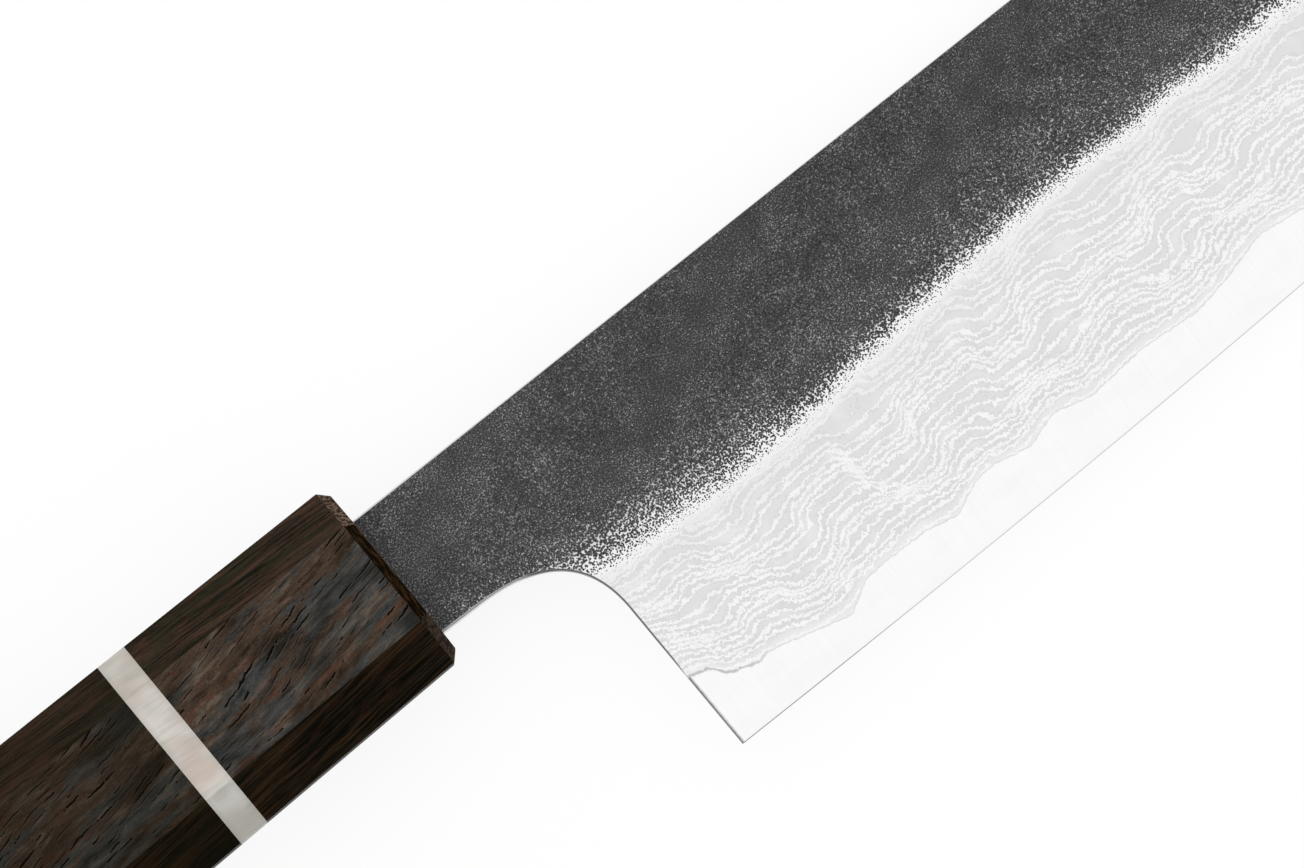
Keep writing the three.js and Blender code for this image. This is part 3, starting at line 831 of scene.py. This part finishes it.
def darkWood():
    look = named(woodLook)
    material, start, shader = newMaterial("darkWood", Specular_IOR_Level=look.sheen)
    x, y, z = placeInMm(start).parts()
    facing = start.node("ShaderNodeNewGeometry", out="True Normal").parts()
    shift = (x < look.blockEnd) * look.rearShift  # the rear block is another piece of wood
    sway = start.noise((x / 26, y / 8, z / 8 + shift), 1.0) - 0.5
    rise = y - x * math.tan(math.radians(look.rise)) + sway * 4

    def patches(name, offset, *character):  # noise drawn out along the grain
        long, wide, thick = woodLook[name]
        return start.noise((x / long, rise / wide, z / thick + shift + offset), *character)

    fibre = patches("fibre", 0, 1.0)
    grit = patches("grit", 0, 2.0, 0.7)
    stria = patches("stria", 0, 2.0, 0.6)
    tint = patches("tint", 0, 1.0) * 0.6 + patches("fineTint", 0, 3.0, 0.6, 0.3) * 0.4
    warm = patches("warm", 17, 3.0, 0.6, 0.3)
    light = patches("light", 31, 3.0, 0.65, 0.3)
    wave = start.noise((x / 15, rise / 3.2, shift), 2.0, 0.55) - 0.5
    dim = start.noise((x / 11, rise / 4.5, shift + 13), 2.0)

    # Painted sheen: blue-grey patches on the broad facets
    sheenPatch = tint.ramp(0.46, 0.58)
    broad = start.paint(
        look.brown, (sheenPatch, look.slate), (warm.ramp(0.55, 0.65) * (1 - sheenPatch) * 0.7, look.red),
        (light.ramp(0.5, 0.7) * 0.68, look.pale), (light.ramp(0.5, 0.3) * 0.68, look.deep),
        (stria.ramp(0.5, 0.3) * (0.15 + sheenPatch * 0.3), look.deep),
        (grit.ramp(0.55, 0.8) * 0.6, look.pale), (grit.ramp(0.46, 0.2) * 0.7, look.deep),
        (dim.ramp(0.44, 0.66) * 0.65, look.deep))
    straight = z - x * look.layerRise + wave * 0.9 + fibre * 0.2
    band = start.noise((straight / 0.8, rise / 6, x / 18 + shift), 3.0, 0.65)
    hair = start.noise((x / 9, straight / 0.16, shift + 21), 2.0)
    # Painted shade: the narrow facets' tones are darker towards the edge's side
    lower = y.ramp(1, -1)
    dark, red, olive, ruddy = (
        start.blend(lower, woodLook["upper" + tone], woodLook["lower" + tone])
        for tone in ("Dark", "Red", "Olive", "Ruddy"))
    narrow = start.paint(
        dark, (band.ramp(0.4, 0.64), red), (warm.ramp(0.54, 0.66) * 0.45, ruddy),
        (tint.ramp(0.46, 0.6) * (0.6 - lower * 0.3), olive),
        (hair.ramp(0.48, 0.36) * (0.7 + lower * 0.3), look.lowerDark),
        (hair.ramp(0.54, 0.68) * (0.24 - lower * 0.12), look.lip),
        (grit.ramp(0.5, 0.25) * 0.45, look.lowerDark))
    flat = abs(facing[2]).ramp(0.8, 0.95)
    colour = start.blend(flat, narrow, broad)

    # Open pores: lanes along the grain, each a chain of thin slanting dashes with a painted highlight along one
    # side
    def chanceAt(*place):
        return start.node("ShaderNodeTexWhiteNoise", {"Vector": start.vector(*place)}, noise_dimensions="3D")

    across = (y - x * math.tan(math.radians(look.poreRise)) + sway * 5) / look.laneWidth
    lane = across.math("FLOOR")
    run = start.noise((x / 6, lane * 5.3, shift + 50), 1.0)
    wiggle = start.noise((x / 2.0, lane * 3.7, shift), 4.0, 0.68) - 0.5
    dashes = (x + wiggle * 4) / look.dashLength + chanceAt(lane, shift, 3.0) * 7
    dash = dashes.math("FLOOR")
    within = dashes - dash
    chance = chanceAt(lane, dash, shift + 11)
    spread = chance.other("Color").parts()
    middle = wiggle * 0.55 + (within - 0.5) * look.dashTilt + (spread[1] - 0.5) * 0.16
    aside = (across - lane - 0.5) * look.laneWidth - middle
    taper = within * (1 - within) * 4
    half = look.poreHalf * taper.math("POWER", 0.5) * spread[2].ramp(0.0, 1.0, 0.35, 1.0, "LINEAR")
    gap = start.noise((x / 0.55, lane * 1.9, shift + 80), 1.0)
    half = half * gap.ramp(0.25, 0.4)
    present = (run.ramp(0.48, 0.56, 0.0, 0.9) > chance) * flat
    pore = (half - abs(aside)).ramp(-0.02, 0.04) * present
    # painted highlight along one side of each pore
    lip = (half + 0.05 - abs(aside + 0.07)).ramp(-0.02, 0.04) * present
    colour = start.paint(
        colour, (lip * 0.35, look.lip), ((shift > 1.0) * (0.42 + flat * 0.09), look.rearDark),
        (pore, look.pore))

    # Ends and chamfers across the grain: growth layers and pores seen end on
    end, square = abs(facing[0]).ramp(0.5, 0.62), abs(facing[0]).ramp(0.8, 0.95)
    ring = start.noise(((z + y * y / 50 + wave * 1.6) / 0.8, y / 12, shift + 5), 3.0, 0.6)
    hole = start.cells(start.vector(x / 4, y / look.endPore, z / look.endPore))
    pit = hole + (grit - 0.5) * 0.5 - hole.other("Color").parts()[0].ramp(0.2, 1.0, 0.0, 0.3, "LINEAR")
    pit = pit.ramp(0.06, -0.06)
    mottle = start.noise((x / 0.7, y / 0.6, z / 0.6 + shift), 3.0, 0.75)
    mottled = start.blend(mottle.ramp(0.4, 0.6), look.endPit, look.endPale)
    ringed = start.blend(ring.ramp(0.4, 0.62), look.endPale, look.endBrown)
    pitted = start.paint(
        mottled, (square * 0.8, ringed), (pit, look.endPit),
        # the end dark tone on the chamfers of the edge's side is painted shade; on the square ends it is darker
        # end grain
        (square * 0.45 + lower * (1 - square) * 0.71, look.endDark))
    line = start.noise((x / 0.25, y / 1.6, z / 0.3 + 70), 2.0)
    lined = start.blend(line.ramp(0.48, 0.66), look.endDark, look.endLine)
    colour = start.blend(end, colour, start.blend(abs(facing[2]).ramp(0.58, 0.66), pitted, lined))
    surface = addBump(start, (1 - pore) * (1 - pit * end) * 0.8 + fibre * 0.25, 0.35, look.bumpDepth)
    feed(shader, Base_Color=colour, Roughness=0.34 + fibre * 0.2, Normal=surface)
    return material


# Pale spacer with soft clouds and faint streaks along the handle, with painted shade towards its long sides
spacerLook = {
    "pale": (210, 204, 197), "pink": (197, 183, 173), "grey": (165, 166, 157),
    # the cool grey (202, 202, 191) is painted shade
    "cool": (202, 202, 191), "pearl": (228, 229, 224), "sheen": 0.3, "bumpDepth": 0.0001,
    "slant": 6.0, "middle": -32.3, "half": 2.0, "sideWidth": 0.8,
}


def paleSpacer():
    look = named(spacerLook)
    material, start, shader = newMaterial("paleSpacer", Specular_IOR_Level=look.sheen)
    x, y, z = placeInMm(start).parts()
    bent = y + x * math.tan(math.radians(look.slant))
    cloud = start.noise((x / 6, bent / 3.4, z / 5), 1.0, 0.4)
    streak = start.noise((x / 5, bent / 0.5, z / 1.5 + 20), 2.0, 0.6)
    dim = start.noise((x / 4, bent / 3.0, z / 3 + 40), 1.0, 0.4).ramp(0.42, 0.78) * 0.42
    pearl = y.ramp(-6.2, -7.4) * y.ramp(-10.8, -8.4) * dim.ramp(0.3, 0.1, 0.5, 1.0)
    side = abs(x - look.middle + (streak - 0.5) * 0.5).ramp(look.half - look.sideWidth, look.half)
    colour = start.paint(
        look.pink, (cloud.ramp(0.36, 0.64), look.pale),
        # painted shade: cooler towards both long sides, most on the edge's side
        (y.ramp(-5.5, -8.5) * 0.5 + y.ramp(5.5, 8.5) * 0.25, look.cool),
        (streak.ramp(0.35, 0.7) * 0.34 + dim, look.grey), (pearl * 0.52, look.pearl),
        # greyer at both joints with the wood, and painted shade greying the edge's side
        (side * 0.32 + y.ramp(-9.5, -12.5) * 0.3, look.grey))
    surface = addBump(start, streak, 0.05, look.bumpDepth)
    feed(shader, Base_Color=colour, Roughness=0.32 + streak * 0.16, Normal=surface)
    return material


tree = blockTree()
darkWoodMaterial, paleSpacerMaterial = darkWood(), paleSpacer()
for name, block in blocks.items():
    piece = makeBlock(name, block, tree, paleSpacerMaterial if name == "spacer" else darkWoodMaterial)
    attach(piece, "root")
    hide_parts(block["node"])
    print("handle", name, len(piece.data.polygons), "faces")

# Pieces inside the handle keep their solids
hiddenLooks = {
    "inner_dowel": {
        "light": (190, 154, 108), "dark": (160, 122, 80), "stretch": (0.05, 1.2, 1.2), "rough": 0.6},
    "tang_resin": {
        "light": (206, 184, 132), "dark": (186, 158, 100), "stretch": (0.3, 0.3, 0.3), "rough": 0.25},
}
sealLook = {
    "light": (30, 25, 22), "dark": (17, 14, 12), "stretch": (0.8, 0.8, 0.8), "rough": 0.35,
    "back": -3.4, "dip": 0.45, "dipLean": 0.4, "outerEdge": -0.2, "innerEdge": -0.04,
    "neckRound": 0.5, "mouthRound": 0.12, "mouthGap": 0.02, "neckBite": 0.04, "rows": 9, "sharpFrom": 50,
}


def streakedFinish(name, values):
    look = named(values)
    material, start, shader = newMaterial(name)
    place = start.node("ShaderNodeVectorMath", {0: placeInMm(start), 1: look.stretch}, operation="MULTIPLY")
    streak = start.noise(place, 3.0, 0.6)
    feed(shader, Base_Color=start.blend(streak.ramp(0.35, 0.65), look.light, look.dark),
         Roughness=look.rough + streak * 0.15, Normal=addBump(start, streak, 0.15, 0.0001))
    return material


for node, look in hiddenLooks.items():
    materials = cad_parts[node].data.materials
    materials.clear()
    materials.append(streakedFinish(node + "Finish", look))


def roundedLoop(height, thickness, radius, perSide=6, perCorner=5):  # points round a slot, about its middle
    loop = []
    for k, (sy, sz) in enumerate(((1, 1), (-1, 1), (-1, -1), (1, -1))):
        centre = np.array([sy * (height / 2 - radius), sz * (thickness / 2 - radius)])
        angles = -k * math.pi / 2 - np.linspace(0, math.pi / 2, perCorner) + math.pi / 2
        loop.append(centre + radius * np.stack([np.sin(angles), np.cos(angles)], 1))
    points = []
    for first, second in zip(loop, loop[1:] + loop[:1]):
        points += first.tolist()
        shares = np.linspace(0, 1, perSide + 2)[1:-1, None]
        points += (first[-1] + (second[0] - first[-1]) * shares).tolist()
    return np.array(points)


def makeSeal():  # a bead of sealant that fills the mouth round the neck and draws up on it
    look = named(sealLook)
    gap, bite = look.mouthGap, look.neckBite
    outer = roundedLoop(mouthSizes["height"] - gap, mouthSizes["thickness"] - gap, look.mouthRound)
    inner = roundedLoop(size.neckHeight - bite, size.neckThickness - bite, look.neckRound)
    rows = []
    for s in np.linspace(0, 1, look.rows):
        level = look.outerEdge + (look.innerEdge - look.outerEdge) * s
        level = level - look.dip * 4 * s * (1 - s) * (1 - look.dipLean * s)
        rows.append(np.c_[np.full(len(outer), level), outer + (inner - outer) * s])
    rows += [np.c_[np.full(len(outer), look.back), loop] for loop in (inner, outer)]
    places = np.vstack(rows) + [0, mouthSizes["middle"], 0]
    count = len(outer)
    loops = [[r * count + i % count for i in range(count + 1)] for r in range(len(rows))]
    faces = [face for pair in zip(loops, loops[1:] + loops[:1]) for face in band(*pair)]
    points = places * mm + np.array(handleFront)
    return makePiece("mouth_bead", points, faces, streakedFinish("sealant", sealLook), look.sharpFrom)


seal = makeSeal()
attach(seal, "root")
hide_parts("mouth_seal")
print("inner pieces finished, mouth bead", len(seal.data.polygons), "faces")

# Floor that the knife lies on: under the front of the handle and the tip
floorLook = {"size": 1.2, "shadow": 0.14, "pale": 0.9, "bounce": 0.5, "white": 1.02, "tipRest": (4, 6)}


def makeFloor():
    look = named(floorLook)
    chamfer, thick = blocks["front_wood"]["sizes"]["Front Chamfer"], handleSizes["Front Thickness"]
    growth = (handleSizes["Butt Thickness"] - thick) * chamfer / handleSizes["Handle Length"]
    front = np.array(handleFront) + np.array([-chamfer, 0.0, -(thick + growth) / 2]) * mm
    back, down = look.tipRest
    tip = toFrame([[tipReach - back, spine - down, -size.tipThickness / 2]])[0]
    slope = math.atan2(tip[2] - front[2], tip[0] - front[0])
    material, start, shader = newMaterial("paleFloor")
    nodes, links = material.node_tree.nodes, material.node_tree.links
    rays = start.node("ShaderNodeLightPath")
    seen = (rays + rays.other("Is Glossy Ray") + rays.other("Is Transmission Ray")).math("MINIMUM", 1.0)
    tone = look.bounce + seen * (look.pale - look.bounce)
    matt = start.node("ShaderNodeBsdfDiffuse", {"Color": tone})
    white = start.node("ShaderNodeEmission", {"Color": (1, 1, 1, 1), "Strength": look.white})
    pale = start.node("ShaderNodeMixShader", {0: seen * (1 - look.shadow), 1: matt, 2: white})
    under = start.node("ShaderNodeNewGeometry", out="Backfacing")
    clear = start.node("ShaderNodeBsdfTransparent")
    both = start.node("ShaderNodeMixShader", {0: under, 1: pale, 2: clear})
    links.new(both.socket, nodes["Material Output"].inputs["Surface"])
    nodes.remove(shader)
    corners = np.array([(-1, -1, 0), (1, -1, 0), (1, 1, 0), (-1, 1, 0)]) * look.size / 2
    floor = makePiece("floor", corners, [(0, 1, 2, 3)], material, size.sharpFrom)
    floor.matrix_world = Matrix.Translation(Vector(front)) @ Matrix.Rotation(-slope, 4, "Y")
    print("floor slope", round(math.degrees(slope), 2))


makeFloor()

# Soft studio light from above and from the spine's side, darker towards the edge's side
lightLook = {
    "all": 0.25, "fromSpine": 0.21, "fromAbove": 1.12, "least": 0.05,
    "shineLean": 0.35, "shineRange": (-0.2, 0.8), "shineLevels": (0.12, 1.0),
}


def makeWorld():
    look = named(lightLook)
    world = bpy.data.worlds.new("studio")
    scene.world = world
    world.use_nodes = True
    tree = world.node_tree
    start = Wire(tree)
    x, y, z = start.node("ShaderNodeTexCoord", out="Generated").parts()
    level = y * look.fromSpine + z * look.fromAbove + look.all
    soft = level.math("MAXIMUM", look.least)
    shine = (z + y * look.shineLean).ramp(*look.shineRange, *look.shineLevels)
    rays = start.node("ShaderNodeLightPath")
    light = soft + (shine - soft) * rays.other("Is Glossy Ray")
    clear = (rays + rays.other("Is Transmission Ray")).math("MINIMUM", 1.0)
    light = light + (1 - light) * clear
    tree.links.new(light.socket, tree.nodes["Background"].inputs["Strength"])
    tree.nodes["Background"].inputs["Color"].default_value = (1, 1, 1, 1)


makeWorld()

# Camera as in the photograph, which is 1304 by 868 pixels at 8.4 pixels to the mm
cameraLook = {
    "pixelsPerMm": 8.4, "width": 1304, "height": 868, "handlePixel": (393.4, 573.4), "handleAngle": 39.35,
    "leanX": 2.5, "leanY": 1.84, "distance": 1450.0, "sensor": 36.0,
}


def makeCamera():
    look = named(cameraLook)
    angle = math.radians(look.handleAngle)
    right = (look.width / 2 - look.handlePixel[0]) / look.pixelsPerMm
    up = (look.handlePixel[1] - look.height / 2) / look.pixelsPerMm
    target = Vector((
        right * math.cos(angle) + up * math.sin(angle), up * math.cos(angle) - right * math.sin(angle), 0))
    back = Vector((-math.tan(math.radians(look.leanX)), -math.tan(math.radians(look.leanY)), 1)).normalized()
    # the picture's right and up, so that the handle's axis climbs at its angle
    axis = Vector((1, 0, 0)) - back * back.x
    axis.normalize()
    across = back.cross(axis)
    rightward = axis * math.cos(angle) - across * math.sin(angle)
    upward = back.cross(rightward)
    data = bpy.data.cameras.new("camera")
    data.sensor_fit = "HORIZONTAL"
    data.sensor_width = look.sensor
    data.lens = look.sensor * look.distance * look.pixelsPerMm / look.width
    data.clip_start, data.clip_end = 0.05, 20
    camera = addObject("camera", data)
    place = handleFront + (target + back * look.distance) * mm
    turn = Matrix((rightward, upward, back)).transposed().to_4x4()
    camera.matrix_world = Matrix.Translation(place) @ turn
    scene.camera = camera


makeCamera()
print("stage, light and camera ready")
